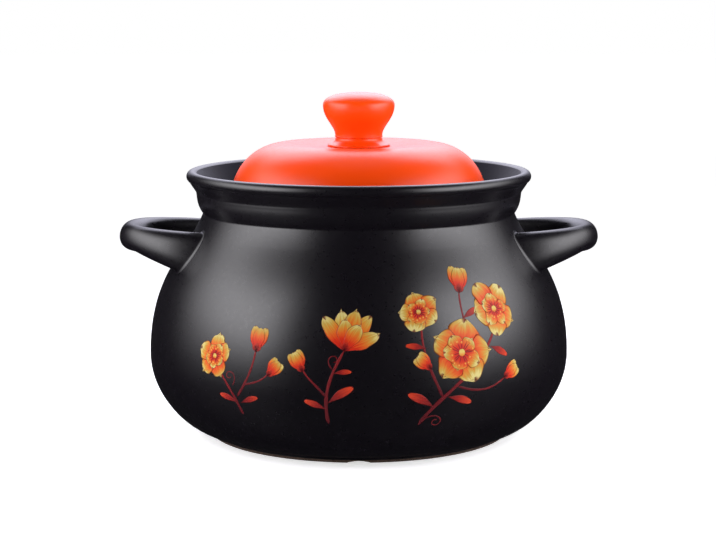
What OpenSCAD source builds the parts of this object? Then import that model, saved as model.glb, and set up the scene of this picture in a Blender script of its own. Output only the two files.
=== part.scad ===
// Lidded clay cooking pot: a round-bellied body with a flared collar, two loop handles,
// and a domed lid with a waisted knob. Millimetres, +Z up, origin at the centre of the foot's
// resting plane, handles along X.

/* [Belly and foot] */
// Radius of the pot at the widest part of its belly
belly_r = 137; // [130:1:148]
// Height of the widest part of the belly
belly_z = 53.5; // [46:0.5:62]
// Length over which the belly leaves the foot level
foot_turn = 14; // [12:1:18]
// Length over which the lower belly turns upright
belly_turn = 28; // [22:1:34]
// Length over which the shoulder leaves the upright
shoulder_turn = 51; // [40:1:60]
// Outer radius of the foot ring
foot_r = 98.8; // [88:0.2:106]
// Height of the foot ring
foot_h = 4; // [3:0.5:8]
// Width of the foot ring
foot_w = 9; // [6:0.5:14]
// Depth of the recess inside the foot ring
foot_recess = 2.5; // [1.5:0.5:3]
// Number of vent notches in the foot ring
notch_count = 3; // [2:1:6]
// Width of a vent notch where it meets the table
notch_w = 15; // [8:1:24]
// Height of a vent notch
notch_h = 1.5; // [0.8:0.1:2.4]
// Thickness of the wall
wall = 7; // [5:0.5:9]

/* [Collar and rim] */
// Radius at the crease where the shoulder meets the collar
neck_r = 101.4; // [96:0.2:106]
// Height of that crease
neck_z = 144.5; // [134:0.5:158]
// Slant of the shoulder at the crease, from the upright
neck_slant = 22; // [10:1:30]
// Length over which the shoulder hollows towards the crease
neck_turn = 26; // [16:1:34]
// Height of the collar from the crease to the crest of the rim
collar_h = 27.5; // [24:0.5:32]
// How far the collar flares out from the crease to the crest of the rim
collar_flare = 6.9; // [5:0.1:12]
// Height of the raised line round the collar, above the crease
line_h = 11.5; // [9.5:0.5:13]
// How far the raised line stands out from the crease
line_out = 4.1; // [3:0.1:5]
// Radius of the round bead along the rim
bead_r = 3.7; // [3:0.1:4.4]
// Height of the lid seat above the crease
seat_h = 8; // [7:0.5:10]
// Distance from the crease in to the lid seat's outer corner
seat_in = 8.9; // [7:0.1:11]
// Width of the shelf that carries the lid
shelf_w = 9; // [8:0.5:14]
// Thickness of the shelf
shelf_t = 6; // [5:0.5:7]

/* [Handles] */
// How far the handles reach out past the belly
ear_reach = 19; // [12:1:28]
// Distance of a handle's top below the collar crease
ear_drop = 10; // [8:0.5:16]
// Half of the spacing between a handle's two legs, centre to centre
ear_half_w = 40.5; // [30:0.5:42]
// Squareness of the handle's loop seen from above
ear_square = 2.4; // [2:0.1:3.6]
// Thickness of the strap seen from above
ear_t = 15; // [12:0.5:18]
// Height of the strap at the outer end of the loop
ear_h = 17.6; // [14:0.1:20]
// Height that the strap's underside gains from root to outer end, per unit of length
ear_slope = 0.4; // [0.2:0.02:0.5]
// Rise of the strap's top from root to outer end, per unit of length
ear_rise = 0.06; // [0:0.01:0.12]

/* [Lid] */
// Clearance between the lid's edge and the seat's outer corner
lid_gap = 3.5; // [2:0.5:5]
// Clearance between the lid's skirt and the throat
skirt_gap = 1.5; // [1:0.1:2.5]
// Depth of the skirt below the lid seat
skirt_h = 6; // [3:0.5:10]
// Thickness of the skirt
skirt_t = 5; // [4:0.5:6]
// Thickness of the lid's flange
flange_t = 4.5; // [3.5:0.5:6]
// Width of the flange outside the dome
flange_w = 5.5; // [4:0.5:7]
// Height of the dome's top ridge above the lid seat
dome_h = 36.7; // [28:0.1:46]
// Radius of the dome's top ridge
ridge_r = 49; // [44:0.5:56]
// Depth of the shallow dish inside the ridge
dish_h = 2; // [1:0.1:3]
// Thickness of the dome
dome_t = 6; // [4.5:0.5:7]

/* [Knob] */
// Height of the knob above the dish
knob_h = 35; // [28:0.5:42]
// Radius of the knob's head
knob_r = 23.3; // [20:0.1:26]
// Depth of the head's widest round below the knob's top
head_drop = 8.2; // [6:0.1:11]
// Radius of the knob's waist
waist_r = 15.2; // [12:0.1:17]
// Radius of the knob's base
base_r = 20.3; // [18:0.1:22]
// Height of the fine ring round the waist, above the dish
ring_h = 6.2; // [5:0.1:8]

/* [Hidden] */
$fn = 96;

glaze_black = [0.10, 0.10, 0.11];
glaze_orange = [0.98, 0.33, 0.16];

// Heights and radii that follow from the sizes above
floor_z = foot_h + wall;
rim_z = neck_z + collar_h;
rim_r = neck_r + collar_flare;
seat_r = neck_r - seat_in;
throat_r = seat_r - shelf_w;
seat_z = neck_z + seat_h;
shelf_z = seat_z - shelf_t;
edge_r = seat_r - lid_gap;
skirt_r = throat_r - skirt_gap;
hollow_r = skirt_r - skirt_t;
dome_r = edge_r - flange_w;
ridge_z = seat_z + dome_h;
dish_z = ridge_z - dish_h;
ear_z = neck_z - ear_drop;
ear_tip = belly_r + ear_reach;
knob_top = dish_z + knob_h;
head_z = knob_top - head_drop;
ring_z = dish_z + ring_h;

// Small rounds on the edges, and how far a handle's legs start inside the wall
edge_round = 1;
foot_round = 1.2;
nose = shelf_t / 3;
ear_sink = 10;
ear_straight = 10;

// Section of a handle: how square it is across and up, and how far its top leans to the gap
section_across = 2.2;
section_up = 2.1;
section_lean = 9;

// Leads: how far across and up the collar's curves head before they bend away from their ends
crease_lead = [2.6, 3.2];
line_lead = [-0.3, -4.5];
line_top = [0.3, 2.2];
hollow_lead = [1.1, 2.4];
bead_lead = [-0.9, -2.1];
flare_lead = [-4.2, -5];
corner_lead = [3.2, 6];
corner_rise = 1.5;

// Where the bead of the rim meets the collar below it and the flare inside it, as angles
bead_low = -62;
bead_in = 140;

// The groove at the back of the seat, and the shelf's fillet into the neck
seat_groove = 1.2;
fillet_share = 0.45;
fillet_lead = 1.2;

// How far the dish of the lid heads level before it rises to the ridge, and the ledge round the knob
dish_ledge = 3;
dish_lead = 8;
ridge_lead = 9;
under_lead = 6;

// Small steps and leads of the knob's outline
knob_foot = 0.6;
knob_foot_in = 0.3;
base_lead = 3;
ring_groove = 0.3;
ring_half = 0.7;
neck_lead = 7;
head_lead = 9;
crown_lead = 4.6;
crown_flat = 0.72;

// Steps along one curve, and along one handle
curve_n = 14;
strap_n = 30;
section_n = 20;

// A cubic curve from a to d that leaves a towards b and arrives at d from c
function on_curve(a, b, c, d, t) =
    (1 - t)^3 * a + 3 * (1 - t)^2 * t * b + 3 * (1 - t) * t^2 * c + t^3 * d;
function heading(a, b, c, d, t) =
    (1 - t)^2 * (b - a) + 2 * (1 - t) * t * (c - b) + t^2 * (d - c);
function curve(p, n = curve_n) =
    [for (i = [0:n]) on_curve(p[0], p[1], p[2], p[3], i / n)];

// The same curve moved sideways by a distance, to the left of its heading
function beside(p, gap, n = curve_n) =
    [for (i = [0:n]) let (
        t = i / n,
        h = heading(p[0], p[1], p[2], p[3], t))
        on_curve(p[0], p[1], p[2], p[3], t) + gap * [-h[1], h[0]] / norm(h)];

// A round or elliptic arc about a centre, from one angle to another
function arc(centre, rx, rz, from, to, n = curve_n) =
    [for (i = [0:n]) let (a = from + (to - from) * i / n)
        centre + [rx * cos(a), rz * sin(a)]];

function reversed(list) = [for (i = [len(list) - 1:-1:0]) list[i]];
function all_but_last(list) = [for (i = [0:len(list) - 2]) list[i]];

// Belly: from the foot's crease, level, out to the widest part, upright, then in to the neck
lower = [
    [foot_r, foot_h],
    [foot_r + foot_turn, foot_h],
    [belly_r, belly_z - belly_turn],
    [belly_r, belly_z]];
upper = [
    [belly_r, belly_z],
    [belly_r, belly_z + shoulder_turn],
    [neck_r + neck_turn * sin(neck_slant), neck_z - neck_turn * cos(neck_slant)],
    [neck_r, neck_z]];

// Collar: a soft band up to the raised line, a hollow above it, and the bead of the rim
bead_c = [rim_r, rim_z - bead_r];
crease = [neck_r, neck_z];
line_p = crease + [line_out, line_h];
hollow_p = line_p + line_top;
under_bead = bead_c + bead_r * [cos(bead_low), sin(bead_low)];
collar = concat(
    curve([crease, crease + crease_lead, line_p + line_lead, line_p], 6),
    all_but_last(curve([hollow_p, hollow_p + hollow_lead,
        under_bead + bead_lead, under_bead], 6)));

// Inside of the rim: from the bead down a hollow flare to the corner of the lid seat
flare_top = bead_c + bead_r * [cos(bead_in), sin(bead_in)];
seat_corner = [seat_r, seat_z];
rim_inside = curve([flare_top, flare_top + flare_lead,
    seat_corner + corner_lead, seat_corner + [0, corner_rise]], 8);

// Shelf: level seat, rounded nose, and a fillet below it into the belly's inner face
inner_neck = beside(upper, wall)[curve_n];
shelf_root = [throat_r + nose + (inner_neck[0] - throat_r - nose) * fillet_share, shelf_z];
shelf = concat(
    [seat_corner - [seat_groove, 0]],
    arc([throat_r + nose, seat_z - nose], nose, nose, 90, 180, 5),
    arc([throat_r + nose, shelf_z + nose], nose, nose, 180, 270, 5),
    curve([shelf_root, [inner_neck[0] - fillet_lead, shelf_z],
        inner_neck + fillet_lead * [-0.25, 1], inner_neck], 5));

// Foot: a narrow ring with rounded edges round a shallow recess
foot = [
    [0, foot_recess],
    [foot_r - foot_w - foot_recess, foot_recess],
    [foot_r - foot_w - foot_round * 0.3, foot_round * 0.3],
    [foot_r - foot_w + foot_round * 0.3, 0],
    [foot_r - foot_round * 1.6, 0],
    [foot_r - foot_round * 0.8, foot_round * 0.3],
    [foot_r - foot_round * 0.4, foot_round]];

outside = concat(
    foot,
    all_but_last(curve(lower)),
    all_but_last(curve(upper)),
    collar,
    arc(bead_c, bead_r, bead_r, bead_low, 90, 9));

inside = concat(
    arc(bead_c, bead_r, bead_r, 100, bead_in - 10, 3),
    rim_inside,
    all_but_last(shelf),
    all_but_last(reversed(beside(upper, wall))),
    reversed(beside(lower, wall)),
    [[0, floor_z]]);

// The space that the pot fills up to its rim, walls and hollow together
module pot_outside() {
    rotate_extrude() polygon(concat(outside, [[0, rim_z]]));
}

// Vent notches: shallow round-topped cuts through the foot ring
module foot_notches() {
    notch_r = (notch_w^2 / 4 + notch_h^2) / (2 * notch_h);
    for (i = [0:notch_count - 1])
        rotate([0, 0, 270 + i * 360 / notch_count])
            translate([foot_r - foot_w / 2, 0, notch_h - notch_r])
                rotate([0, 90, 0])
                    cylinder(h = foot_w * 2, r = notch_r, center = true);
}

module pot_body() {
    color(glaze_black)
        difference() {
            rotate_extrude() polygon(concat(outside, inside));
            foot_notches();
        }
}

// Handles: a strap with a rounded section, carried round a squared loop seen from above.
// The legs start inside the wall, and the pot's outside trims them where they meet it.
ear_in = sqrt(neck_r^2 - (ear_half_w + ear_t / 2)^2) - ear_sink;
loop_x = ear_in + ear_straight;
loop_len = ear_tip - ear_t / 2 - loop_x;

// A signed power, which turns a circle into a squared one
function squared(v, e) = sign(v) * abs(v)^(2 / e);

// Centre line of the strap seen from above
function loop_at(a) = [
    loop_x + loop_len * squared(cos(a), ear_square),
    ear_half_w * squared(sin(a), ear_square)];
loop = concat(
    [[ear_in, -ear_half_w]],
    [for (i = [0:strap_n]) loop_at(-90 + 180 * i / strap_n)],
    [[ear_in, ear_half_w]]);

// Direction across the strap at each point of the loop, pointing away from the gap
function along(i) =
    loop[min(i + 1, len(loop) - 1)] - loop[max(i - 1, 0)];
function across(i) = [along(i)[1], -along(i)[0]] / norm(along(i));

// Top and underside of the strap at a distance from the axis
function strap_top(x) = ear_z + ear_rise * (x - loop_x);
function strap_under(x) =
    strap_top(ear_tip) - ear_h - ear_slope * max(ear_tip - ear_t - x, 0);

// One rounded cross-section of the strap
function strap_ring(i) = let (
    c = loop[i],
    n = across(i),
    mid = (strap_top(c[0]) + strap_under(c[0])) / 2,
    half = (strap_top(c[0]) - strap_under(c[0])) / 2)
    [for (k = [0:section_n - 1]) let (
        a = 360 * k / section_n,
        side = ear_t / 2 * squared(cos(a), section_across),
        up = half * squared(sin(a), section_up),
        out = side * cos(section_lean) - up * sin(section_lean),
        rise = side * sin(section_lean) + up * cos(section_lean))
        [c[0] + n[0] * out, c[1] + n[1] * out, mid + rise]];

module strap() {
    rings = len(loop);
    points = [for (i = [0:rings - 1]) each strap_ring(i)];
    last = (rings - 1) * section_n;
    sides = [for (i = [0:rings - 2], k = [0:section_n - 1]) let (
        a = i * section_n + k,
        b = i * section_n + (k + 1) % section_n)
        each [[a, b, b + section_n], [a, b + section_n, a + section_n]]];
    polyhedron(
        points = points,
        faces = concat(
            sides,
            [[for (k = [section_n - 1:-1:0]) k]],
            [[for (k = [0:section_n - 1]) last + k]]),
        convexity = 6);
}

module right_handle() {
    color(glaze_black)
        difference() {
            strap();
            pot_outside();
        }
}

module left_handle() {
    color(glaze_black)
        difference() {
            mirror([1, 0, 0]) strap();
            pot_outside();
        }
}

// Lid: a dished top inside a low ridge, a round shoulder, a flange on the seat, and a skirt
cove_z = seat_z + flange_t + flange_w * 0.7;
dish_out = ridge_r - ridge_lead;
dish_in = base_r + dish_ledge;
lid_outside = concat(
    curve([[dish_in, dish_z], [dish_in + dish_lead, dish_z],
        [dish_out, ridge_z], [ridge_r, ridge_z]], 8),
    arc([ridge_r, seat_z], dome_r - ridge_r, dome_h, 88, asin((cove_z - seat_z) / dome_h), 20),
    [[dome_r + edge_round, seat_z + flange_t + edge_round * 0.6],
     [edge_r - edge_round, seat_z + flange_t],
     [edge_r, seat_z + flange_t - edge_round],
     [edge_r, seat_z + edge_round],
     [edge_r - edge_round, seat_z]]);
lid_inside = concat(
    [[skirt_r, seat_z],
     [skirt_r, seat_z - skirt_h + edge_round],
     [skirt_r - edge_round, seat_z - skirt_h],
     [hollow_r + edge_round, seat_z - skirt_h],
     [hollow_r, seat_z - skirt_h + edge_round]],
    arc([ridge_r, seat_z], hollow_r - ridge_r, dome_h - dome_t, 0, 90, 16),
    curve([[dish_out, ridge_z - dome_t], [dish_out - under_lead, ridge_z - dome_t],
        [base_r + dish_lead, dish_z - dome_t], [base_r, dish_z - dome_t]], 6));

module lid_dome() {
    color(glaze_orange)
        rotate_extrude()
            polygon(concat([[0, dish_z]], lid_outside, lid_inside, [[0, dish_z - dome_t]]));
}

// Knob: a flared base, a waist with a fine ring, and a full round head under a soft crown
knob_base = curve([
    [base_r - knob_foot_in, dish_z + knob_foot * 2],
    [base_r - base_lead, dish_z + knob_foot * 4],
    [waist_r, ring_z - base_lead],
    [waist_r, ring_z - ring_half]], 8);
knob_ring = [
    [waist_r - ring_groove, ring_z - ring_half / 2],
    [waist_r - ring_groove, ring_z],
    [waist_r + ring_groove, ring_z + ring_half / 2]];
knob_neck = curve([
    [waist_r + ring_groove, ring_z + ring_half],
    [waist_r + ring_groove, ring_z + neck_lead],
    [knob_r, head_z - head_lead],
    [knob_r, head_z]]);
knob_crown = curve([
    [knob_r, head_z],
    [knob_r, head_z + crown_lead],
    [knob_r * crown_flat, knob_top],
    [0, knob_top]]);

module lid_knob() {
    color(glaze_orange)
        rotate_extrude()
            polygon(concat(
                [[0, dish_z], [base_r - knob_foot, dish_z], [base_r, dish_z + knob_foot]],
                knob_base,
                knob_ring,
                all_but_last(knob_neck),
                knob_crown));
}

pot_body();
left_handle();
right_handle();
lid_dome();
lid_knob();
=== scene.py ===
"""Looks of a lidded clay cooking pot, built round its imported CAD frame.

Metres, +Z up, the handles along X, the printed front towards -Y. Every surface is worked out
with numpy: a profile carried round the pot's axis, a section carried round a handle, or a
printed patch laid on the wall.
"""
import math

import bpy
import numpy as np
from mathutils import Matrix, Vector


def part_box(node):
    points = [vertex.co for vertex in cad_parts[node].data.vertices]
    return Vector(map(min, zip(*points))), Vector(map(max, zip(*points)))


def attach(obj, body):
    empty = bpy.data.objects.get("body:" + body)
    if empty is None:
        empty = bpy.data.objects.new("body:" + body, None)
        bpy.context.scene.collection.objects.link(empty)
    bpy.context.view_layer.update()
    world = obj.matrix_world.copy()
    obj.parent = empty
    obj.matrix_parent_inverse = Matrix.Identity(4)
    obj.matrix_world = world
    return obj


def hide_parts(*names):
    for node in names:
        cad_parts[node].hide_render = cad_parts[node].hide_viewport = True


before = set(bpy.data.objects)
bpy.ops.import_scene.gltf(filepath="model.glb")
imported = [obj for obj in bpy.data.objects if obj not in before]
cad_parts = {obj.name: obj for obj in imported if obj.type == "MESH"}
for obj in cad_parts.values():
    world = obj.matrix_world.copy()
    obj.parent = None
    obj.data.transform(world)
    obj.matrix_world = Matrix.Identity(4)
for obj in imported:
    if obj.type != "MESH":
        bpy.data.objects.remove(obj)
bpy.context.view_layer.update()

MM = 0.001

# Pot: its widest line and its rim from the frame, then the part's other sizes
pot_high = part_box("pot_body")[1]
BELLY_R = pot_high.y
RIM_Z = pot_high.z
BELLY_Z = 53.5 * MM
FOOT_TURN = 14 * MM
BELLY_TURN = 28 * MM
SHOULDER_TURN = 51 * MM
FOOT_R = 98.8 * MM
FOOT_H = 4 * MM
FOOT_W = 9 * MM
FOOT_RECESS = 2.5 * MM
FOOT_ROUND = 1.2 * MM
NOTCHES = 3
NOTCH_W = 15 * MM
NOTCH_H = 1.5 * MM
WALL = 7 * MM
NECK_R = 101.4 * MM
NECK_Z = RIM_Z - 27.5 * MM
NECK_SLANT = math.radians(22)
NECK_TURN = 26 * MM
BEAD_R = 3.7 * MM
BEAD_FROM_DEG = -62
BEAD_TO_DEG = 140
RIM_R = NECK_R + 6.9 * MM
LINE_H = 11.5 * MM
LINE_OUT = 4.1 * MM
SEAT_Z = NECK_Z + 8 * MM
SEAT_R = NECK_R - 8.9 * MM
THROAT_R = SEAT_R - 9 * MM
SHELF_Z = SEAT_Z - 6 * MM
SHELF_NOSE = 2 * MM
FLOOR_Z = FOOT_H + WALL

# Handles: a strap carried round a squared loop
EAR_TIP = 155.94 * MM
EAR_Z = NECK_Z - 10 * MM
EAR_HALF_W = 40.5 * MM
EAR_SQUARE = 2.4
EAR_LEG = 10 * MM
EAR_T = 15 * MM
EAR_H = 17.6 * MM
EAR_SLOPE = 0.40
EAR_RISE = 0.06
EAR_ROOT = 2.4 * MM
SECTION_ACROSS = 2.2
SECTION_UP = 2.1
SECTION_LEAN = math.radians(9)

# Lid and knob
lid_low, lid_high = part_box("lid_dome")
knob_low, knob_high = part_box("lid_knob")
RIDGE_Z = lid_high.z
LID_EDGE_R = lid_high.x
SKIRT_LOW = lid_low.z
DISH_Z = knob_low.z
KNOB_TOP = knob_high.z
KNOB_R = knob_high.x
RIDGE_R = 49 * MM
RIDGE_TURN = 9 * MM
DISH_DEPTH = 2 * MM
DISH_MARGIN = 3 * MM
DOME_R = LID_EDGE_R - 5.5 * MM
DOME_H = RIDGE_Z - SEAT_Z
DOME_T = 6 * MM
FLANGE_T = 4.5 * MM
FLANGE_ROUND = 1 * MM
COVE_H = 3.85 * MM
SKIRT_R = THROAT_R - 1.5 * MM
SKIRT_T = 5 * MM
KNOB_BASE_R = 20.3 * MM
KNOB_BASE_ROUND = 0.6 * MM
KNOB_WAIST_R = 15.2 * MM
KNOB_HEAD_Z = KNOB_TOP - 8.2 * MM
KNOB_RING_Z = DISH_Z + 6.2 * MM

# Points along one turn of each lathed piece
POT_TURNS = 248
LID_TURNS = 256
KNOB_TURNS = 160


# Camera, where the photograph was taken from
PHOTO_WIDTH_PX = 716
FOCAL_PX = 1924.1
CAMERA_PLACE = (-0.0005, -1.25, 0.288)
CAMERA_TILT = math.radians(8.3)


def set_camera():
    """A level camera tipped down by CAMERA_TILT; its lens is FOCAL_PX over the picture's width."""
    data = bpy.data.cameras.new("camera")
    data.sensor_width = 36
    data.lens = data.sensor_width * FOCAL_PX / PHOTO_WIDTH_PX
    data.clip_start = 0.05
    data.clip_end = 50
    camera = bpy.data.objects.new("camera", data)
    camera.location = CAMERA_PLACE
    camera.rotation_euler = (math.pi / 2 - CAMERA_TILT, 0, 0)
    bpy.context.scene.collection.objects.link(camera)
    bpy.context.scene.camera = camera


# Curves and profiles: arrays of (radius, height)
def mm(across, up):
    """A step of a profile, given in millimetres."""
    return np.array([across, up]) * MM


def cubic(a, b, c, d, steps=40):
    """Points (1-t)^3 a + 3(1-t)^2 t b + 3(1-t) t^2 c + t^3 d for t from 0 to 1."""
    t = np.linspace(0, 1, steps + 1)[:, None]
    a, b, c, d = (np.array(p, float) for p in (a, b, c, d))
    return (1 - t) ** 3 * a + 3 * (1 - t) ** 2 * t * b + 3 * (1 - t) * t ** 2 * c + t ** 3 * d


def arc(centre, across, up, start, end, steps=16):
    """Points of an ellipse about a centre, between two angles in degrees."""
    a = np.radians(np.linspace(start, end, steps + 1))
    return np.array(centre) + np.stack([across * np.cos(a), up * np.sin(a)], 1)


def on_arc(centre, across, up, angle):
    """The one point of such an ellipse at an angle."""
    return arc(centre, across, up, angle, angle, 0)[0]


def straight(a, b, steps):
    """Evenly spaced points from a to b."""
    t = np.linspace(0, 1, steps + 1)[:, None]
    return np.array(a) * (1 - t) + np.array(b) * t


def to_left(points):
    """Unit vectors square to a line of points, to the left of its heading."""
    heading = np.gradient(points, axis=0)
    left = np.stack([-heading[:, 1], heading[:, 0]], 1)
    return left / np.linalg.norm(left, axis=1)[:, None]


def smooth(value, start, end):
    """0 before start, 1 after end, with a soft step 3t^2 - 2t^3 between them."""
    t = np.clip((value - start) / (end - start), 0, 1)
    return t * t * (3 - 2 * t)


def joined(*pieces):
    """Lines of points put end to end, with repeated points left out."""
    line = np.concatenate([np.atleast_2d(np.array(p, float)) for p in pieces])
    far = np.linalg.norm(np.diff(line, axis=0), axis=1) > 1e-6
    return line[np.concatenate([[True], far])]


lower_belly = cubic(
    (FOOT_R, FOOT_H),
    (FOOT_R + FOOT_TURN, FOOT_H),
    (BELLY_R, BELLY_Z - BELLY_TURN),
    (BELLY_R, BELLY_Z), 60)
upper_belly = cubic(
    (BELLY_R, BELLY_Z),
    (BELLY_R, BELLY_Z + SHOULDER_TURN),
    (NECK_R + NECK_TURN * math.sin(NECK_SLANT), NECK_Z - NECK_TURN * math.cos(NECK_SLANT)),
    (NECK_R, NECK_Z), 90)
belly = joined(lower_belly, upper_belly)


def pot_profile():
    """Foot ring, belly, collar with its raised line, bead, flare, lid seat, shelf and inside."""
    foot_in = FOOT_R - FOOT_W
    recess_r = foot_in - FOOT_RECESS
    band_in = foot_in + 1.5 * MM
    band_out = FOOT_R - 2 * MM
    foot_side = FOOT_R - 0.4 * MM
    crease = np.array([NECK_R, NECK_Z])
    line = crease + (LINE_OUT, LINE_H)
    line_top = line + mm(0.3, 2.2)
    bead = np.array([RIM_R, RIM_Z - BEAD_R])
    under_bead = on_arc(bead, BEAD_R, BEAD_R, BEAD_FROM_DEG)
    flare = on_arc(bead, BEAD_R, BEAD_R, BEAD_TO_DEG)
    corner = np.array([SEAT_R, SEAT_Z])
    nose = THROAT_R + SHELF_NOSE
    inner_belly = belly + to_left(belly) * WALL
    inner_neck = inner_belly[-1]
    shelf_root = (nose + (inner_neck[0] - nose) * 0.45, SHELF_Z)
    return joined(
        # Recess under the foot, its resting band and the round outside that band
        straight((0, FOOT_RECESS), (recess_r, FOOT_RECESS), 12),
        cubic((recess_r, FOOT_RECESS), (foot_in - 1.2 * MM, FOOT_RECESS),
              (foot_in - 0.8 * MM, 0), (band_in, 0), 8),
        straight((band_in, 0), (band_out, 0), 4),
        cubic((band_out, 0), (FOOT_R - 0.6 * MM, 0),
              (foot_side, FOOT_ROUND), (foot_side, 2 * FOOT_ROUND), 8),
        belly,
        # Collar: a hollow, the raised line, and a second hollow below the bead
        cubic(crease, crease + mm(2.6, 3.2), line - mm(0.3, 4.5), line, 14),
        cubic(line, line + mm(0.2, 0.9), line + mm(0.1, 1.5), line_top, 5),
        cubic(line_top, line + mm(1.4, 4.6), under_bead - mm(0.9, 2.1), under_bead, 14),
        arc(bead, BEAD_R, BEAD_R, BEAD_FROM_DEG, BEAD_TO_DEG, 36),
        # Flare down to the seat, and the shelf that carries it
        cubic(flare, flare - mm(4.2, 5), corner + mm(3.2, 6), corner + mm(0, 1.5), 16),
        cubic(corner + mm(0, 1.5), corner, corner, corner - mm(1.2, 0), 5),
        straight(corner - mm(1.2, 0), (nose, SEAT_Z), 5),
        arc((nose, SEAT_Z - SHELF_NOSE), SHELF_NOSE, SHELF_NOSE, 90, 180, 7),
        arc((nose, SHELF_Z + SHELF_NOSE), SHELF_NOSE, SHELF_NOSE, 180, 270, 7),
        cubic(shelf_root, (inner_neck[0] - 1.2 * MM, SHELF_Z),
              inner_neck + mm(-0.3, 1.2), inner_neck, 8),
        # Inside, with every second point of the belly
        inner_belly[::-2],
        straight((FOOT_R, FLOOR_Z), (0, FLOOR_Z), 16))


def dome_profile():
    """Hollow and skirt underneath; flange, cove, round shoulder, ridge and dished top outside."""
    under_z = RIDGE_Z - DISH_DEPTH - DOME_T
    top_r = RIDGE_R - RIDGE_TURN
    dish_r = KNOB_BASE_R + DISH_MARGIN
    skirt_in = SKIRT_R - SKIRT_T
    edge = FLANGE_ROUND
    flange_top = SEAT_Z + FLANGE_T
    cove_z = flange_top + COVE_H
    cove = math.degrees(math.asin((cove_z - SEAT_Z) / DOME_H))
    middle = (RIDGE_R, SEAT_Z)
    shoulder = DOME_R - RIDGE_R
    return joined(
        straight((0, under_z), (KNOB_BASE_R, under_z), 6),
        cubic((KNOB_BASE_R, under_z), (KNOB_BASE_R + 8 * MM, under_z),
              (top_r - 6 * MM, RIDGE_Z - DOME_T), (top_r, RIDGE_Z - DOME_T), 10),
        arc(middle, skirt_in - RIDGE_R, DOME_H - DOME_T, 90, 0, 30),
        straight((skirt_in, SEAT_Z), (skirt_in, SKIRT_LOW + edge), 3),
        arc((skirt_in + edge, SKIRT_LOW + edge), edge, edge, 180, 270, 5),
        arc((SKIRT_R - edge, SKIRT_LOW + edge), edge, edge, 270, 360, 5),
        straight((SKIRT_R, SKIRT_LOW + edge), (SKIRT_R, SEAT_Z), 3),
        straight((SKIRT_R, SEAT_Z), (LID_EDGE_R - edge, SEAT_Z), 3),
        arc((LID_EDGE_R - edge, SEAT_Z + edge), edge, edge, 270, 360, 5),
        arc((LID_EDGE_R - edge, flange_top - edge), edge, edge, 0, 90, 5),
        cubic((LID_EDGE_R - edge, flange_top), (DOME_R + edge, flange_top),
              on_arc(middle, shoulder, DOME_H, cove - 3),
              on_arc(middle, shoulder, DOME_H, cove), 10),
        arc(middle, shoulder, DOME_H, cove, 88, 50),
        cubic((RIDGE_R, RIDGE_Z), (top_r, RIDGE_Z),
              (dish_r + 8 * MM, DISH_Z), (dish_r, DISH_Z), 30),
        straight((dish_r, DISH_Z), (0, DISH_Z), 10))


def knob_profile():
    """Flared base, fine ring in a groove round the waist, full head and soft crown."""
    waist = KNOB_WAIST_R
    ring = KNOB_RING_Z
    turn = KNOB_BASE_ROUND
    base_r = KNOB_BASE_R - turn
    groove = arc((waist - 0.1 * MM, ring - 0.45 * MM), 0.3 * MM, 0.3 * MM, 110, 250, 5)
    return joined(
        straight((0, DISH_Z), (base_r, DISH_Z), 6),
        arc((base_r, DISH_Z + turn), turn, turn, 270, 395, 8),
        cubic((KNOB_BASE_R - 0.3 * MM, DISH_Z + 1.2 * MM),
              (KNOB_BASE_R - 3 * MM, DISH_Z + 2.4 * MM),
              (waist, ring - 3 * MM), (waist, ring - 0.8 * MM), 18),
        groove[::-1] - mm(0.1, 0),
        arc((waist, ring + 0.25 * MM), 0.45 * MM, 0.5 * MM, -80, 80, 8),
        cubic((waist + 0.1 * MM, ring + 0.8 * MM), (waist + 0.3 * MM, ring + 7 * MM),
              (KNOB_R, KNOB_HEAD_Z - 9 * MM), (KNOB_R, KNOB_HEAD_Z), 40),
        cubic((KNOB_R, KNOB_HEAD_Z), (KNOB_R, KNOB_HEAD_Z + 4.6 * MM),
              (KNOB_R * 0.72, KNOB_TOP), (0, KNOB_TOP), 40))


# Meshes
NO_TRIANGLES = np.zeros((0, 3), int)


def grid_faces(rows, columns, closed_across, start=0):
    """Quads of a grid of points stored row by row; closed_across joins its last column and first."""
    row = np.arange(rows - 1)[:, None] * columns
    after = row + columns
    j = np.arange(columns if closed_across else columns - 1)[None, :]
    k = (j + 1) % columns
    quads = np.stack([row + j, row + k, after + k, after + j], -1)
    return quads.reshape(-1, 4) + start


def fan_faces(centre, ring, outward):
    """Triangles from a centre point to a closed ring of points."""
    after = np.roll(ring, -1)
    a, b = (ring, after) if outward else (after, ring)
    return np.stack([np.full_like(ring, centre), a, b], 1)


def make_piece(name, points, quads, material, triangles=NO_TRIANGLES):
    """An object at the origin, with its place in its mesh."""
    mesh = bpy.data.meshes.new(name)
    mesh.from_pydata(points.tolist(), [], quads.tolist() + triangles.tolist())
    mesh.shade_smooth()
    mesh.materials.append(material)
    mesh.update()
    piece = bpy.data.objects.new(name, mesh)
    bpy.context.scene.collection.objects.link(piece)
    return piece


def face_out(piece):
    """Turns a closed mesh inside out if its signed volume is negative."""
    mesh = piece.data
    mesh.calc_loop_triangles()
    corners = np.empty(len(mesh.loop_triangles) * 3, np.int32)
    mesh.loop_triangles.foreach_get("vertices", corners)
    places = np.empty(len(mesh.vertices) * 3)
    mesh.vertices.foreach_get("co", places)
    a, b, c = places.reshape(-1, 3)[corners.reshape(-1, 3)].transpose(1, 0, 2)
    if (a * np.cross(b, c)).sum() < 0:
        mesh.flip_normals()


def lathe_points(profile, turns):
    """A profile carried round the axis: (r cos a, r sin a, z), one row of points to a height."""
    a = np.linspace(0, 2 * np.pi, turns, endpoint=False)[None, :]
    r = profile[:, :1]
    z = np.repeat(profile[:, 1:], turns, axis=1)
    return np.stack([r * np.cos(a), r * np.sin(a), z], -1)


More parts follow.
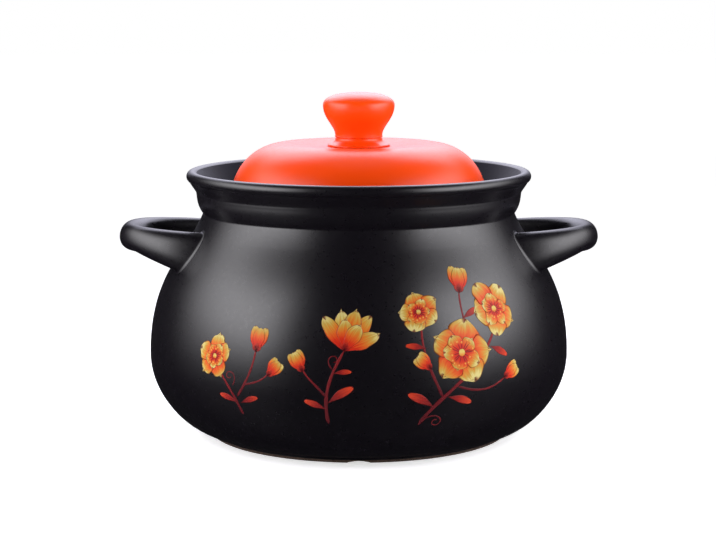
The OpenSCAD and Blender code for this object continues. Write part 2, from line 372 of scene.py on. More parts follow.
def lathe(name, profile, turns, material, finish_rows=None):
    """A closed turned piece. Its profile starts and ends on the axis, each end as one point."""
    rows = lathe_points(profile[1:-1], turns)
    if finish_rows is not None:
        rows = finish_rows(rows)
    count = len(rows)
    poles = np.array([[0, 0, profile[0, 1]], [0, 0, profile[-1, 1]]])
    points = np.concatenate([rows.reshape(-1, 3), poles])
    first = np.arange(turns)
    last = first + (count - 1) * turns
    triangles = np.concatenate([
        fan_faces(count * turns, first, False),
        fan_faces(count * turns + 1, last, True)])
    return make_piece(name, points, grid_faces(count, turns, True), material, triangles)


# Materials: noise scales are in cells to the metre
def new_material(name):
    """A node material, with its nodes, its links and its shader."""
    material = bpy.data.materials.new(name)
    material.use_nodes = True
    nodes = material.node_tree.nodes
    return material, nodes, material.node_tree.links, nodes["Principled BSDF"]


def noise(nodes, links, place, scale, detail):
    """Cloudy noise from 0 to 1 at a place."""
    node = nodes.new("ShaderNodeTexNoise")
    node.inputs["Scale"].default_value = scale
    node.inputs["Detail"].default_value = detail
    links.new(place, node.inputs["Vector"])
    return node.outputs["Fac"]


def ramp(nodes, links, factor, stops):
    """A colour ramp with (place, linear colour) stops."""
    node = nodes.new("ShaderNodeValToRGB")
    elements = node.color_ramp.elements
    while len(elements) < len(stops):
        elements.new(0.5)
    for element, (place, colour) in zip(elements, stops):
        element.position = place
        element.color = (*colour, 1)
    links.new(factor, node.inputs["Fac"])
    return node.outputs["Color"]


def in_range(nodes, links, value, low, high, to_low, to_high):
    """A value carried from one range to another, kept within it."""
    node = nodes.new("ShaderNodeMapRange")
    ends = {"From Min": low, "From Max": high, "To Min": to_low, "To Max": to_high}
    for socket, number in ends.items():
        node.inputs[socket].default_value = number
    links.new(value, node.inputs["Value"])
    return node.outputs["Result"]


def bumped(nodes, links, shader, layers):
    """Bumps laid over one another; each layer is (height, depth in metres)."""
    last = None
    for height, depth in layers:
        node = nodes.new("ShaderNodeBump")
        node.inputs["Distance"].default_value = depth
        links.new(height, node.inputs["Height"])
        if last is not None:
            links.new(last, node.inputs["Normal"])
        last = node.outputs["Normal"]
    links.new(last, shader.inputs["Normal"])


def read_attribute(nodes, name):
    """The node that reads a mesh attribute."""
    node = nodes.new("ShaderNodeAttribute")
    node.attribute_name = name
    return node


def calc(nodes, links, operation, a, b):
    """One calculation with two inputs, each a socket or a number."""
    node = nodes.new("ShaderNodeMath")
    node.operation = operation
    for socket, value in zip(node.inputs, (a, b)):
        if isinstance(value, (int, float)):
            socket.default_value = value
        else:
            links.new(value, socket)
    return node.outputs["Value"]


DRIFT_CELLS = 22
GLOSS_CELLS = 420
PEEL_CELLS = 260
PEEL_DEPTH = 0.012 * MM
GRAIN_CELLS = 1500
GRAIN_DEPTH = 0.0015 * MM
GRIT_CELLS = 900
GRIT_DEPTH = 0.08 * MM


def glaze(name, dark, light, roughness, ior):
    """Fired glaze: slow colour drift, fine change of gloss, and a soft orange-peel skin."""
    material, nodes, links, shader = new_material(name)
    place = nodes.new("ShaderNodeTexCoord").outputs["Object"]
    drift = noise(nodes, links, place, DRIFT_CELLS, 3)
    links.new(ramp(nodes, links, drift, [(0.3, dark), (0.7, light)]), shader.inputs["Base Color"])
    fine = noise(nodes, links, place, GLOSS_CELLS, 2)
    links.new(in_range(nodes, links, fine, 0.3, 0.7, *roughness), shader.inputs["Roughness"])
    shader.inputs["IOR"].default_value = ior
    peel = noise(nodes, links, place, PEEL_CELLS, 1)
    grain = noise(nodes, links, place, GRAIN_CELLS, 2)
    bumped(nodes, links, shader, [(peel, PEEL_DEPTH), (grain, GRAIN_DEPTH)])
    return material


def clay():
    """Unglazed fired clay: brown, matt and gritty."""
    material, nodes, links, shader = new_material("bare_clay")
    place = nodes.new("ShaderNodeTexCoord").outputs["Object"]
    grit = noise(nodes, links, place, GRIT_CELLS, 4)
    brown = [(0.3, (0.030, 0.018, 0.013)), (0.7, (0.085, 0.050, 0.036))]
    links.new(ramp(nodes, links, grit, brown), shader.inputs["Base Color"])
    shader.inputs["Roughness"].default_value = 0.85
    bumped(nodes, links, shader, [(grit, GRIT_DEPTH)])
    return material


black_glaze = glaze(
    "black_glaze", dark=(0.0026, 0.0019, 0.0034), light=(0.0034, 0.0026, 0.0042),
    roughness=(0.27, 0.32), ior=1.5)
# Inside the rim: a darker, bluer glaze that reflects little (low IOR); it is painted shade
inner_shade_glaze = glaze(
    "inner_shade_glaze", dark=(0.0026, 0.0019, 0.0070), light=(0.0034, 0.0026, 0.0100),
    roughness=(0.30, 0.36), ior=1.10)
orange_glaze = glaze(
    "orange_glaze", dark=(0.93, 0.062, 0.0010), light=(0.95, 0.068, 0.0016),
    roughness=(0.29, 0.34), ior=1.43)
bare_clay = clay()


# Pot
WAVE = 0.10 * MM
PRINT_ROOM = 0.18 * MM
CLAY_BAND_H = 1.9 * MM
# Rows past the rim's top where the painted-shade glaze inside begins
INNER_SHADE_ROWS = 8
pot_outline = pot_profile()
top_row = int(np.argmax(pot_outline[:, 1])) - 1


def thrown_wave(angle, height):
    """Slow unevenness left by forming, from -1 to 1: three sines of angle and height."""
    return (0.5 * np.sin(3 * angle + 40 * height)
            + 0.3 * np.sin(5 * angle - 65 * height + 1.7)
            + 0.2 * np.sin(2 * angle + 90 * height + 0.6))


def wave_inward(angle, radius, height):
    """How far a point of the outside is drawn inwards: 0 to 2 WAVE, and room for the print.

    It fades in from 12 to 22 mm above the ground, and out over the last 12 mm below the neck.
    """
    above_foot = np.clip((height - 12 * MM) / (10 * MM), 0, 1)
    below_neck = np.clip((NECK_Z - height) / (12 * MM), 0, 1)
    drawn = WAVE * (1 + thrown_wave(angle, height)) + PRINT_ROOM
    return drawn * (above_foot * below_neck) * (radius > FOOT_R - 5 * MM)


def finish_pot_rows(rows):
    """Unevenness on the outside, and notches: the foot is lifted to a round-topped arch."""
    x, y, z = rows[..., 0], rows[..., 1], rows[..., 2]
    radius = np.hypot(x, y)
    angle = np.arctan2(y, x)
    outside = np.arange(len(rows))[:, None] < top_row
    drawn = wave_inward(angle, radius, z) * outside
    arch_r = (NOTCH_W ** 2 / 4 + NOTCH_H ** 2) / (2 * NOTCH_H)
    lift = np.zeros_like(z)
    for i in range(NOTCHES):
        turned = angle + np.pi / 2 - i * 2 * np.pi / NOTCHES
        sideways = radius * np.sin(turned)
        facing = np.cos(turned) > 0.5
        arch = NOTCH_H - arch_r + np.sqrt(np.maximum(arch_r ** 2 - sideways ** 2, 0))
        lift = np.where(facing & (np.abs(sideways) < NOTCH_W / 2), np.maximum(lift, arch), lift)
    ring = (radius > FOOT_R - 1.5 * FOOT_W) & outside
    z = np.where(ring, np.maximum(z, lift), z)
    shrink = 1 - drawn / np.maximum(radius, 1e-6)
    return np.stack([x * shrink, y * shrink, z], -1)


def share_out_clay_and_shade(mesh):
    """Bare clay on the foot's resting band, and from just within the bead the duller, bluer glaze
    that paints the shade inside the rim.

    Faces come row by row: the quads, then the fan under the foot, then the fan of the floor.
    """
    count = len(mesh.polygons)
    centre = np.empty(count * 3)
    mesh.polygons.foreach_get("center", centre)
    centre = centre.reshape(-1, 3)
    radius = np.hypot(centre[:, 0], centre[:, 1])
    band = (centre[:, 2] < CLAY_BAND_H) & (radius > FOOT_R - FOOT_W - 1 * MM)
    quads = (len(pot_outline) - 3) * POT_TURNS
    row = np.where(np.arange(count) < quads, np.arange(count) // POT_TURNS, 0)
    row[quads + POT_TURNS:] = len(pot_outline)
    # Past these rows the inside takes the darker glaze that paints its shade
    within = row > top_row + INNER_SHADE_ROWS
    mesh.polygons.foreach_set("material_index", (band + 2 * within).astype(np.int32))


def make_pot():
    """The turned shell in its three materials: glaze, bare clay, and the duller, bluer glaze inside
    that paints its shade.
    """
    pot = lathe("glazed_pot", pot_outline, POT_TURNS, black_glaze, finish_pot_rows)
    pot.data.materials.append(bare_clay)
    pot.data.materials.append(inner_shade_glaze)
    share_out_clay_and_shade(pot.data)
    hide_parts("pot_body")
    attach(pot, "pot")


# Lid and knob
def make_lid():
    """The turned dome, with the skirt under it that keeps it in its seat."""
    dome = lathe("glazed_lid", dome_profile(), LID_TURNS, orange_glaze)
    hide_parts("lid_dome")
    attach(dome, "lid")


def make_knob():
    """The turned knob that stands in the dome's dish."""
    knob = lathe("glazed_knob", knob_profile(), KNOB_TURNS, orange_glaze)
    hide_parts("lid_knob")
    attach(knob, "lid")


# Where the outside of the pot's wall is, for what sits on it
belly_steps = np.linalg.norm(np.diff(belly, axis=0), axis=1)
belly_way = np.concatenate([[0], np.cumsum(belly_steps)])
belly_way -= belly_way[np.argmax(belly[:, 0])]
belly_out = -to_left(belly)


def wall_nearest(points):
    """Signed distance from the belly's outline and its outward direction, for points in space."""
    q = np.stack([np.hypot(points[..., 0], points[..., 1]), points[..., 2]], -1)
    start = belly[:-1]
    step = np.diff(belly, axis=0)
    along = ((q[..., None, :] - start) * step).sum(-1) / (step ** 2).sum(-1)
    along = np.clip(along, 0, 1)
    foot = start + step * along[..., None]
    gap = np.linalg.norm(q[..., None, :] - foot, axis=-1)
    best = gap.argmin(-1)
    t = np.take_along_axis(along, best[..., None], -1)
    out = belly_out[best] * (1 - t) + belly_out[best + 1] * t
    foot = belly[best] + step[best] * t
    distance = ((q - foot) * out).sum(-1)
    angle = np.arctan2(points[..., 1], points[..., 0])
    level = out[..., 0]
    direction = np.stack([level * np.cos(angle), level * np.sin(angle), out[..., 1]], -1)
    return distance, direction / np.linalg.norm(direction, axis=-1)[..., None]


# Handles
STRAP_SAMPLES = 700
STRAP_ROWS = 150
STRAP_COLUMNS = 72
FILLET_ROWS = 9
FILLET_SUNK = 0.5 * MM
ROOT_SUNK = 2 * MM


def squared(value, power):
    """A signed power that turns a circle into a squared one."""
    return np.sign(value) * np.abs(value) ** (2 / power)


def strap_line():
    """Centre line of the right strap seen from above, evenly spaced: a leg, a squared loop, a leg.

    The loop is (reach cos a, half width sin a), with both waves squared, for a from -90 to 90
    degrees. Its legs run inwards from where the strap leaves the neck's circle.
    """
    leg_x = math.sqrt(NECK_R ** 2 - (EAR_HALF_W + EAR_T / 2) ** 2) - EAR_LEG
    loop_x = leg_x + EAR_LEG
    reach = EAR_TIP - EAR_T / 2 - loop_x
    a = np.radians(np.linspace(-90, 90, 4001))
    loop = np.stack([
        loop_x + reach * squared(np.cos(a), EAR_SQUARE),
        EAR_HALF_W * squared(np.sin(a), EAR_SQUARE)], 1)
    line = np.concatenate([[[leg_x, -EAR_HALF_W]], loop, [[leg_x, EAR_HALF_W]]])
    way = np.concatenate([[0], np.cumsum(np.linalg.norm(np.diff(line, axis=0), axis=1))])
    even = np.linspace(0, way[-1], STRAP_SAMPLES)
    spaced = np.stack([np.interp(even, way, line[:, 0]), np.interp(even, way, line[:, 1])], 1)
    return spaced, loop_x


def strap_surface():
    """Points and outward directions of the strap: a squared section carried along its centre line.

    The top climbs by EAR_RISE for each unit outwards, and the underside drops by EAR_SLOPE
    for each unit inwards, so the strap is deepest at its roots. The section is turned by
    SECTION_LEAN, so that its top leans to the gap.
    """
    line, loop_x = strap_line()
    along = np.gradient(line, axis=0)
    along /= np.linalg.norm(along, axis=1)[:, None]
    across = np.stack([along[:, 1], -along[:, 0]], 1)
    top = EAR_Z + EAR_RISE * (line[:, 0] - loop_x)
    tip_top = EAR_Z + EAR_RISE * (EAR_TIP - loop_x)
    under = tip_top - EAR_H - EAR_SLOPE * np.maximum(EAR_TIP - EAR_T - line[:, 0], 0)
    middle, half = (top + under) / 2, (top - under) / 2
    a = np.linspace(0, 2 * np.pi, STRAP_COLUMNS, endpoint=False)
    side = EAR_T / 2 * squared(np.cos(a), SECTION_ACROSS)[None, :]
    up = half[:, None] * squared(np.sin(a), SECTION_UP)
    outwards = side * math.cos(SECTION_LEAN) - up * math.sin(SECTION_LEAN)
    upwards = side * math.sin(SECTION_LEAN) + up * math.cos(SECTION_LEAN)
    points = np.empty((STRAP_SAMPLES, STRAP_COLUMNS, 3))
    points[..., 0] = line[:, :1] + across[:, :1] * outwards
    points[..., 1] = line[:, 1:] + across[:, 1:] * outwards
    points[..., 2] = middle[:, None] + upwards
    on = np.gradient(points, axis=0)
    around = np.roll(points, -1, 1) - np.roll(points, 1, 1)
    out = np.cross(on, around)
    out /= np.linalg.norm(out, axis=-1)[..., None] + 1e-12
    if out[STRAP_SAMPLES // 2, 0, 0] < 0:
        out = -out
    return points, out


def between(rows, place):
    """Rows of an array read at fractional row numbers, one set of row numbers for each column."""
    low = np.clip(np.floor(place).astype(int), 0, len(rows) - 2)
    part = (place - low)[..., None]
    column = np.arange(rows.shape[1])[None, :]
    return rows[low, column] * (1 - part) + rows[low + 1, column] * part


def root_rows(points, out, place):
    """A quarter-round from the strap down to the wall, rolled in the corner by a ball of EAR_ROOT.

    Each row is the ball's centre less EAR_ROOT times a direction swung from the strap's
    outward one to the wall's. A last row lies sunk in the wall.
    """
    at = between(points, place[None, :])[0]
    strap_out = between(out, place[None, :])[0]
    strap_out /= np.linalg.norm(strap_out, axis=1)[:, None]
    ball = at + strap_out * EAR_ROOT
    wall_out = wall_nearest(ball)[1]
    corner = np.arccos(np.clip((strap_out * wall_out).sum(-1), -1, 1))[None, :, None]
    t = np.linspace(0, 1, FILLET_ROWS)[:, None, None]
    swung = (np.sin((1 - t) * corner) * strap_out + np.sin(t * corner) * wall_out) / np.sin(corner)
    rows = ball - EAR_ROOT * swung
    sunk = rows[-1] - wall_out * FILLET_SUNK
    return np.concatenate([rows, sunk[None]])


def make_handle(name, node, mirror, material):
    """A strap between two roots, closed inside the wall by a fan at each end.

    In each column the strap starts and ends where a ball of EAR_ROOT that rests on it just
    touches the wall.
    """
    points, out = strap_surface()
    clear = wall_nearest(points + out * EAR_ROOT)[0] - EAR_ROOT
    half = STRAP_SAMPLES // 2
    column = np.arange(STRAP_COLUMNS)
    first = (clear[:half] > 0).argmax(0)
    share = clear[first - 1, column] / (clear[first - 1, column] - clear[first, column])
    start = first - 1 + share
    last = STRAP_SAMPLES - 1 - (clear[::-1][:half] > 0).argmax(0)
    share = clear[last, column] / (clear[last, column] - clear[last + 1, column])
    end = last + share
    t = np.linspace(0, 1, STRAP_ROWS)[:, None]
    rows = np.concatenate([
        root_rows(points, out, start)[::-1][:-1],
        between(points, start * (1 - t) + end * t),
        root_rows(points, out, end)[1:]])
    centres = np.stack([rows[0].mean(0), rows[-1].mean(0)])
    centres[:, 0] -= ROOT_SUNK
    vertices = np.concatenate([rows.reshape(-1, 3), centres])
    count = len(rows)
    triangles = np.concatenate([
        fan_faces(count * STRAP_COLUMNS, column, False),
        fan_faces(count * STRAP_COLUMNS + 1, column + (count - 1) * STRAP_COLUMNS, True)])
    if mirror:
        vertices[:, 0] *= -1
    piece = make_piece(name, vertices, grid_faces(count, STRAP_COLUMNS, True), material, triangles)
    face_out(piece)
    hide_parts(node)
    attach(piece, "pot")


# Flower print: patches laid out in millimetres on the unrolled wall, then wrapped onto it.
# Across is the angle from the front times PRINT_R; up is the way from the wall's widest line.
PRINT_R = 125.0
PRINT_LIFT = 0.04 * MM
PRINT_LAYER = 0.011 * MM
PRINT_SUNK = 0.1 * MM
PETAL_ROWS = 22
PETAL_COLUMNS = 13
STROKE_COLUMNS = 5
STAMENS = 15
rng = np.random.default_rng(7)


def on_wall(x, s, dx, ds, lift):
    """Wraps plane points onto the wall: angle x / PRINT_R + dx / radius, height from way s + ds."""
    way = (s + ds) * MM
    radius = np.interp(way, belly_way, belly[:, 0])
    height = np.interp(way, belly_way, belly[:, 1])
    out_r = np.interp(way, belly_way, belly_out[:, 0])
    out_z = np.interp(way, belly_way, belly_out[:, 1])
    angle = x / PRINT_R + dx * MM / radius - np.pi / 2
    drawn = wave_inward(angle, radius, height)
    r = radius - drawn + lift * out_r
    return np.stack([r * np.cos(angle), r * np.sin(angle), height + lift * out_z], -1)


def new_sheet():
    """The patches of one print colour: points, faces, and along, across and tint for each point."""
    return {"points": [], "quads": [], "along": [], "across": [], "tint": [], "count": 0}


petals, leaves, stems, stamens = new_sheet(), new_sheet(), new_sheet(), new_sheet()


def add_patch(sheet, x, s, dx, ds, along, across, layer, tint):
    """A thin closed plate: a grid over the wall, the same grid sunk in it, and a rim between."""
    rows, columns = dx.shape
    top = on_wall(x, s, dx, ds, PRINT_LIFT + layer * PRINT_LAYER)
    under = on_wall(x, s, dx, ds, -PRINT_SUNK)
    size = rows * columns
    start = sheet["count"]
    quads = grid_faces(rows, columns, False, start)
    number = np.arange(size).reshape(rows, columns) + start
    border = np.concatenate([
        number[0, :-1], number[:-1, -1], number[-1, :0:-1], number[:0:-1, 0]])
    after = np.roll(border, -1)
    rim = np.stack([border, border + size, after + size, after], 1)
    sheet["points"].append(np.concatenate([top.reshape(-1, 3), under.reshape(-1, 3)]))
    sheet["quads"] += [quads, quads[:, ::-1] + size, rim]
    for name, value in (("along", along), ("across", across), ("tint", tint)):
        value = np.broadcast_to(value, (rows, columns)).reshape(-1)
        sheet[name].append(np.concatenate([value, value]))
    sheet["count"] += 2 * size


def petal(sheet, x, s, heading, length, width, layer, tint,
          start=0.0, narrow=0.4, ruffle=0.04, bend=0.0, lean=(0.0, 1.0)):
    """A rounded petal: half width is a half circle's, drawn in at the base and rippled at the edge.

    heading turns it from straight up towards +x; lean = (direction, share) flattens it that way.
    """
    u = ((1 - np.cos(np.pi * np.linspace(0, 1, PETAL_ROWS))) / 2)[:, None]
    v = np.linspace(-1, 1, PETAL_COLUMNS)[None, :]
    phase = rng.uniform(0, 6.28, 3)
    half = width / 2 * np.sqrt(np.maximum(1 - (2 * u - 1) ** 2, 0.002))
    uneven = ruffle * (np.sin(9 * u + phase[0]) + 0.6 * v * np.sin(14 * u + phase[2]))
    half = half * (narrow + (1 - narrow) * smooth(u, 0, 0.6)) * (1 + uneven)
    px = v * half + bend * length * u ** 2
    py = start + length * (u + ruffle * u ** 3 * np.sin(4 * v + phase[1]))
    h = math.radians(heading)
    dx = px * math.cos(h) + py * math.sin(h)
    ds = py * math.cos(h) - px * math.sin(h)
    way = math.radians(lean[0])
    cut = (dx * math.sin(way) + ds * math.cos(way)) * (1 - lean[1])
    add_patch(sheet, x, s, dx - cut * math.sin(way), ds - cut * math.cos(way), u, v, layer, tint)


def stroke(points, wide_start, wide_end, layer=0):
    """A brush stroke along a line of plane points, its width easing from one end to the other."""
    heading = np.gradient(points, axis=0)
    heading /= np.linalg.norm(heading, axis=1)[:, None]
    u = np.linspace(0, 1, len(points))[:, None]
    v = np.linspace(-1, 1, STROKE_COLUMNS)[None, :]
    ends = np.sqrt(np.clip(np.minimum(u, 1 - u) * len(points) / 3, 0.01, 1))
    half = (wide_start + (wide_end - wide_start) * u) / 2 * ends
    half = half * (1 + 0.12 * np.sin(23 * u + len(points)))
    dx = heading[:, 1:] * v * half
    ds = -heading[:, :1] * v * half
    add_patch(stems, points[:, :1], points[:, 1:], dx, ds, u, v, layer, 0.0)


def stem(a, b, c, d, wide_start, wide_end):
    """A stroke along a cubic curve."""
    stroke(cubic(a, b, c, d, 44), wide_start, wide_end)


def tendril(x, s, heading, length, curl, wide=0.9):
    """A line whose heading turns ever faster: heading + curl t^2, added up step by step."""
    steps = 60
    h = np.radians(heading + curl * np.linspace(0, 1, steps) ** 2)
    step = length / steps
    points = np.stack([x + np.cumsum(np.sin(h)) * step, s + np.cumsum(np.cos(h)) * step], 1)
    stroke(points, wide, wide * 0.5)


def leaf(x, s, heading, length, bend=0.12):
    """A narrow petal in the leaves' colour."""
    petal(leaves, x, s, heading, length, 0.30 * length, 1, rng.uniform(-0.1, 0.1),
          narrow=0.25, ruffle=0.02, bend=bend)


def calyx(x, s, heading, size, layer):
    """Three pointed sepals at the foot of a bud."""
    for turn, length in ((-42, 0.75), (42, 0.75), (0, 0.9)):
        petal(leaves, x, s, heading + turn, size * length, size * 0.42, layer, -0.15,
              start=-0.12 * size, narrow=0.7, ruffle=0.02)


def bud(x, s, heading, size):
    """A closed bud: two side petals, and a fuller one over them."""
    closed = ((-15, 1.0, 0.50, 2), (15, 1.0, 0.50, 3), (0, 0.94, 0.56, 4))
    for turn, length, wide, layer in closed:
        petal(petals, x, s, heading + turn, size * length, size * wide, layer,
              -0.12 + rng.uniform(-0.06, 0.06), narrow=0.55, ruffle=0.02)
    calyx(x, s, heading, size * 0.42, 5)


def cup(x, s, heading, size):
    """A half-open flower from the side: back petals, then the outer ones in front."""
    fan = ((-20, 0.96, 0.42, 2), (20, 0.98, 0.42, 3), (0, 1.0, 0.44, 4),
           (-46, 0.90, 0.40, 5), (46, 0.90, 0.40, 6), (-13, 0.74, 0.40, 7), (15, 0.70, 0.40, 8))
    for turn, length, wide, layer in fan:
        petal(petals, x, s, heading + turn, size * length, size * wide, layer,
              rng.uniform(-0.16, 0.02), narrow=0.5, ruffle=0.05, bend=0.0012 * turn)
    calyx(x, s, heading, size * 0.26, 9)


def blossom(x, s, size, spin, lean):
    """An open flower: five outer petals, five small ones over them, and a ring of stamens."""
    for k in range(5):
        petal(petals, x, s, spin + 72 * k + rng.uniform(-7, 7), size * rng.uniform(0.43, 0.50),
              size * rng.uniform(0.46, 0.56), 2 + k, rng.uniform(-0.16, 0.06),
              start=0.03 * size, ruffle=0.075, lean=lean)
    for k in range(5):
        petal(petals, x, s, spin + 38 + 72 * k + rng.uniform(-9, 9),
              size * rng.uniform(0.25, 0.32), size * rng.uniform(0.26, 0.33),
              7 + k, rng.uniform(-0.20, 0.0), start=0.02 * size, ruffle=0.08, lean=lean)
    for k in range(STAMENS):
        turn = math.radians(360 * k / STAMENS + rng.uniform(-7, 7))
        reach = size * rng.uniform(0.12, 0.19)
        tip = np.array([x + reach * math.sin(turn), s + reach * math.cos(turn) * lean[1]])
        root = np.array([x, s]) + (tip - (x, s)) * 0.2
        stroke(straight(root, tip, 8), 0.35, 0.5, 13)
        petal(stamens, tip[0], tip[1], math.degrees(turn), 1.5, 1.4, 14, 0.0,
              narrow=1.0, ruffle=0.0)
    petal(stamens, x, s - 0.055 * size, 0, 0.11 * size, 0.11 * size, 13, 0.4,
          narrow=1.0, ruffle=0.02)


def lay_out_right_spray():
    """Three blossoms and three buds on branching stems."""
    stem((34, -24), (44, -2), (66, 2), (84, 34), 2.6, 1.6)
    stem((47, -6), (40, 10), (34, 22), (36, 40), 1.9, 1.1)
    stem((66, 8), (66, 30), (60, 42), (64, 58), 1.7, 1.0)
    stem((56, 0), (70, -6), (80, -4), (88, 2), 1.5, 0.9)
    blossom(59, 20, 40, 12, (20, 0.92))
    blossom(86, 44, 35, 40, (65, 0.86))
    blossom(35, 46, 27, -20, (-30, 0.85))
    bud(64, 57, 12, 17)
    bud(88, 2, 62, 13)
    bud(40, 12, -48, 12)
    leaf(42, -12, -52, 19, bend=-0.15)
    leaf(50, -6, 100, 17, bend=0.12)
    leaf(62, 40, 58, 14)
    leaf(38, 24, -75, 13, bend=-0.1)
    leaf(78, 22, 110, 15)
    tendril(36, -20, 62, 26, 420)


def lay_out_middle_twig():
    """A half-open flower and a bud on a forked stem."""
    stem((-17, -22), (-20, -2), (-16, 8), (-8, 24), 2.3, 1.4)
    stem((-18, -4), (-24, 4), (-28, 6), (-31, 12), 1.5, 0.9)
    cup(-8, 24, 16, 25)
    bud(-31, 11, -28, 13)
    leaf(-17, -8, 48, 18, bend=0.16)
    leaf(-18, -12, -62, 14, bend=-0.12)
    leaf(-14, 10, 76, 11)
    tendril(-14, 12, -40, 17, 330, 0.8)


def lay_out_left_sprig():
    """A blossom and two buds on branching stems."""
    stem((-69, -20), (-72, -8), (-78, 0), (-86, 10), 2.0, 1.2)
    stem((-71, -8), (-64, 2), (-60, 12), (-59, 22), 1.7, 1.0)
    stem((-66, 0), (-58, 2), (-54, 4), (-51, 8), 1.3, 0.8)
    blossom(-87, 15, 28, 5, (-60, 0.86))
    bud(-59, 21, 8, 15)
    bud(-51, 7, 40, 12)
    leaf(-71, -12, -66, 14, bend=-0.12)
    leaf(-69, -12, 62, 13, bend=0.12)
    tendril(-74, -2, 26, 19, -360, 0.8)


# Print colours, from the base of a petal, leaf, stem or stamen to its tip, and brush streaks
PETAL_STOPS = [
    (0.00, (0.38, 0.008, 0.004)),
    (0.27, (0.47, 0.022, 0.006)),
    (0.46, (0.52, 0.082, 0.011)),
    (0.62, (0.47, 0.170, 0.020)),
    (0.76, (0.40, 0.270, 0.050)),
    (0.92, (0.50, 0.430, 0.160))]
LEAF_STOPS = [
    (0.0, (0.08, 0.004, 0.006)),
    (0.5, (0.22, 0.008, 0.006)),
    (1.0, (0.46, 0.035, 0.009))]
STEM_STOPS = [
    (0.0, (0.075, 0.004, 0.008)),
    (1.0, (0.17, 0.008, 0.010))]
STAMEN_STOPS = [
    (0.0, (0.46, 0.03, 0.006)),
    (0.6, (0.56, 0.20, 0.024)),
    (1.0, (0.52, 0.38, 0.090))]


STREAKS_ACROSS = 5.0
STREAKS_ALONG = 1.3
STREAKS_APART = 40.0
STREAK_CELLS = 1.6


def painted(name, stops, outline, streak_share, rim_start):
    """Enamel laid on by brush: a ramp from base to tip, streaks along it, and a dark outline.

    The streaks are noise drawn out along the patch, and each tint reads its own layer of that
    noise. The outline starts where the greater of the way across and 3.5 times the way along
    less 2.5 passes rim_start.
    """
    material, nodes, links, shader = new_material(name)
    along, across, tint = (
        read_attribute(nodes, word).outputs["Fac"] for word in ("along", "across", "tint"))
    brush = nodes.new("ShaderNodeCombineXYZ")
    links.new(calc(nodes, links, "MULTIPLY", across, STREAKS_ACROSS), brush.inputs["X"])
    links.new(calc(nodes, links, "MULTIPLY", along, STREAKS_ALONG), brush.inputs["Y"])
    links.new(calc(nodes, links, "MULTIPLY", tint, STREAKS_APART), brush.inputs["Z"])
    streak = noise(nodes, links, brush.outputs["Vector"], STREAK_CELLS, 3)
    streak = calc(nodes, links, "SUBTRACT", streak, 0.5)
    streak = calc(nodes, links, "MULTIPLY", streak, streak_share)
    level = calc(nodes, links, "ADD", calc(nodes, links, "ADD", along, tint), streak)
    colour = ramp(nodes, links, level, stops)
    tip = calc(nodes, links, "SUBTRACT", calc(nodes, links, "MULTIPLY", along, 3.5), 2.5)
    edge = calc(nodes, links, "MAXIMUM", calc(nodes, links, "ABSOLUTE", across, 0), tip)
    edge = calc(nodes, links, "ADD", edge, calc(nodes, links, "MULTIPLY", streak, 0.12))
    rim = in_range(nodes, links, edge, rim_start, 0.99, 0.0, 0.9)
    mix = nodes.new("ShaderNodeMix")
    mix.data_type = "RGBA"
    links.new(rim, mix.inputs["Factor"])
    links.new(colour, mix.inputs["A"])
    mix.inputs["B"].default_value = (*outline, 1)
    links.new(mix.outputs["Result"], shader.inputs["Base Color"])
    shader.inputs["Roughness"].default_value = 0.42
    shader.inputs["Specular IOR Level"].default_value = 0.14
    return material


def make_print(name, sheet, material):
    """One mesh of all patches of a colour, with the attributes that its enamel reads."""
    points = np.concatenate(sheet["points"])
    piece = make_piece(name, points, np.concatenate(sheet["quads"]), material)
    for word in ("along", "across", "tint"):
        data = piece.data.attributes.new(word, "FLOAT", "POINT").data
        data.foreach_set("value", np.concatenate(sheet[word]).astype(np.float32))
    face_out(piece)
    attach(piece, "pot")


def print_flowers():
    """Lays out the three groups from right to left, then makes a piece for each colour."""
    lay_out_right_spray()
    lay_out_middle_twig()
    lay_out_left_sprig()
    petal_enamel = painted("petal_enamel", PETAL_STOPS, (0.12, 0.008, 0.003), 0.55, 0.88)
    make_print("print_petals", petals, petal_enamel)
    leaf_enamel = painted("leaf_enamel", LEAF_STOPS, (0.07, 0.004, 0.005), 0.5, 0.86)
    make_print("print_leaves", leaves, leaf_enamel)
    stem_enamel = painted("stem_enamel", STEM_STOPS, (0.09, 0.004, 0.006), 0.4, 0.80)
    make_print("print_stems", stems, stem_enamel)
    stamen_enamel = painted("stamen_enamel", STAMEN_STOPS, (0.30, 0.02, 0.008), 0.3, 0.85)
    make_print("print_stamens", stamens, stamen_enamel)


# Studio: a pale floor, a pale wall far off, and a tent of soft light round the pot
TENT_R = 0.52
TENT_Z = 0.15
SIDE_POWER = 6.1
BACK_POWER = 3.9
TOP_POWER = 0.5
SIDE_COLOUR = np.array([0.98, 0.965, 1.0])
BACK_COLOUR = np.array([0.90, 0.89, 1.06])
FLOOR_HALF = 8
WALL_RING = np.array([[7.5, -0.1], [7.5, 6]])
WALL_TURNS = 64


def tent_light(turn, rise):
    """Coloured light from a direction: the turn from the camera's side and the rise over the
    horizon, in degrees. The two side boxes are nearly white, the back and top ones cooler.

    A side box reaches further round the higher it is, and goes on below as a faint glow. The
    back box is dimmest at its foot, and at its two sides it starts higher than in its middle.
    """
    aside = np.abs(turn)
    slanted = aside - 0.72 * np.maximum(rise, 0)
    side_box = (smooth(aside, 28, 52) * (1 - smooth(slanted, 52, 112))
                * (0.976 * smooth(rise, -20, 9) + 0.024 * smooth(rise, -85, -25))
                * (1 - smooth(rise, 21, 48)))
    behind = smooth(aside, 138, 165)
    back_box = (smooth(aside, 112, 140)
                * smooth(rise, 1, 6) * (1 - smooth(rise, 54, 76))
                * (0.28 + 0.72 * smooth(rise, 6, 36))
                * (behind + (1 - behind) * smooth(rise, 24, 44)))
    top_box = smooth(rise, 66, 84)
    cool = BACK_POWER * back_box + TOP_POWER * top_box
    return SIDE_POWER * side_box[..., None] * SIDE_COLOUR + cool[..., None] * BACK_COLOUR


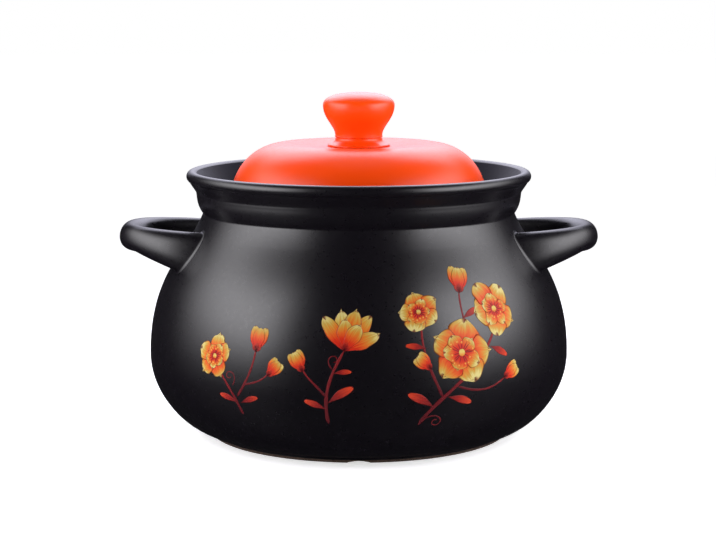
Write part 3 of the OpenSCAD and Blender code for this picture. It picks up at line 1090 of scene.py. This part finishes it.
def light_material(name):
    """A material that only gives light, white unless its emission's colour is linked."""
    material = bpy.data.materials.new(name)
    material.use_nodes = True
    nodes, links = material.node_tree.nodes, material.node_tree.links
    nodes.clear()
    emission = nodes.new("ShaderNodeEmission")
    output = nodes.new("ShaderNodeOutputMaterial")
    links.new(emission.outputs["Emission"], output.inputs["Surface"])
    return material, nodes, links, emission


def make_tent():
    """The lit parts of a globe: TENT_R times (sin turn cos rise, -cos turn cos rise, sin rise)."""
    turn, rise = np.meshgrid(np.linspace(-180, 180, 145), np.linspace(-72, 88, 65), indexing="xy")
    glow = tent_light(turn, rise)
    t, r = np.radians(turn), np.radians(rise)
    points = TENT_R * np.stack([np.sin(t) * np.cos(r), -np.cos(t) * np.cos(r), np.sin(r)], -1)
    points[..., 2] += TENT_Z
    quads = grid_faces(*turn.shape, False)
    lit = glow.max(-1).reshape(-1)[quads].max(1) > 0.01
    material, nodes, links, emission = light_material("tent_light")
    links.new(read_attribute(nodes, "glow").outputs["Color"], emission.inputs["Color"])
    tent = make_piece("tent", points.reshape(-1, 3), quads[lit], material)
    tent.data.flip_normals()
    light = tent.data.attributes.new("glow", "FLOAT_VECTOR", "POINT")
    light.data.foreach_set("vector", glow.reshape(-1).astype(np.float32))
    tent.visible_camera = False
    tent.visible_shadow = False


def make_floor():
    """A wide level floor, near white, that glossy surfaces don't mirror.

    Its own glow grows with the distance from the pot, so that it ends in the wall's tone.
    """
    material, nodes, links, shader = new_material("floor")
    shader.inputs["Base Color"].default_value = (0.85, 0.85, 0.86, 1)
    shader.inputs["Roughness"].default_value = 0.9
    shader.inputs["Specular IOR Level"].default_value = 0.1
    shader.inputs["Emission Color"].default_value = (1, 1, 1, 1)
    place = nodes.new("ShaderNodeTexCoord").outputs["Object"]
    far = nodes.new("ShaderNodeVectorMath")
    far.operation = "LENGTH"
    links.new(place, far.inputs[0])
    glow = in_range(nodes, links, far.outputs["Value"], 0.20, 0.50, 0.62, 1.0)
    links.new(glow, shader.inputs["Emission Strength"])
    points = FLOOR_HALF * np.array([[-1, -1, 0], [1, -1, 0], [1, 1, 0], [-1, 1, 0]], float)
    floor = make_piece("floor", points, np.array([[0, 1, 2, 3]]), material)
    floor.visible_glossy = False
    floor.visible_shadow = False


def make_wall():
    """A pale ring of wall, so that low views end in the floor's own tone."""
    ring = lathe_points(WALL_RING, WALL_TURNS)
    quads = grid_faces(len(WALL_RING), WALL_TURNS, True)
    wall = make_piece("wall", ring.reshape(-1, 3), quads, light_material("wall")[0])
    wall.visible_glossy = False
    wall.visible_diffuse = False
    wall.visible_shadow = False


def set_world():
    """A dim surround, and plain colour in the picture."""
    world = bpy.data.worlds.new("studio")
    world.use_nodes = True
    background = world.node_tree.nodes["Background"]
    background.inputs["Color"].default_value = (0.9, 0.88, 1, 1)
    background.inputs["Strength"].default_value = 0.015
    bpy.context.scene.world = world
    bpy.context.scene.view_settings.view_transform = "Standard"


# Making
set_camera()
make_pot()
make_lid()
make_knob()
make_handle("glazed_right_handle", "right_handle", False, black_glaze)
make_handle("glazed_left_handle", "left_handle", True, black_glaze)
print_flowers()
make_tent()
make_floor()
make_wall()
set_world()
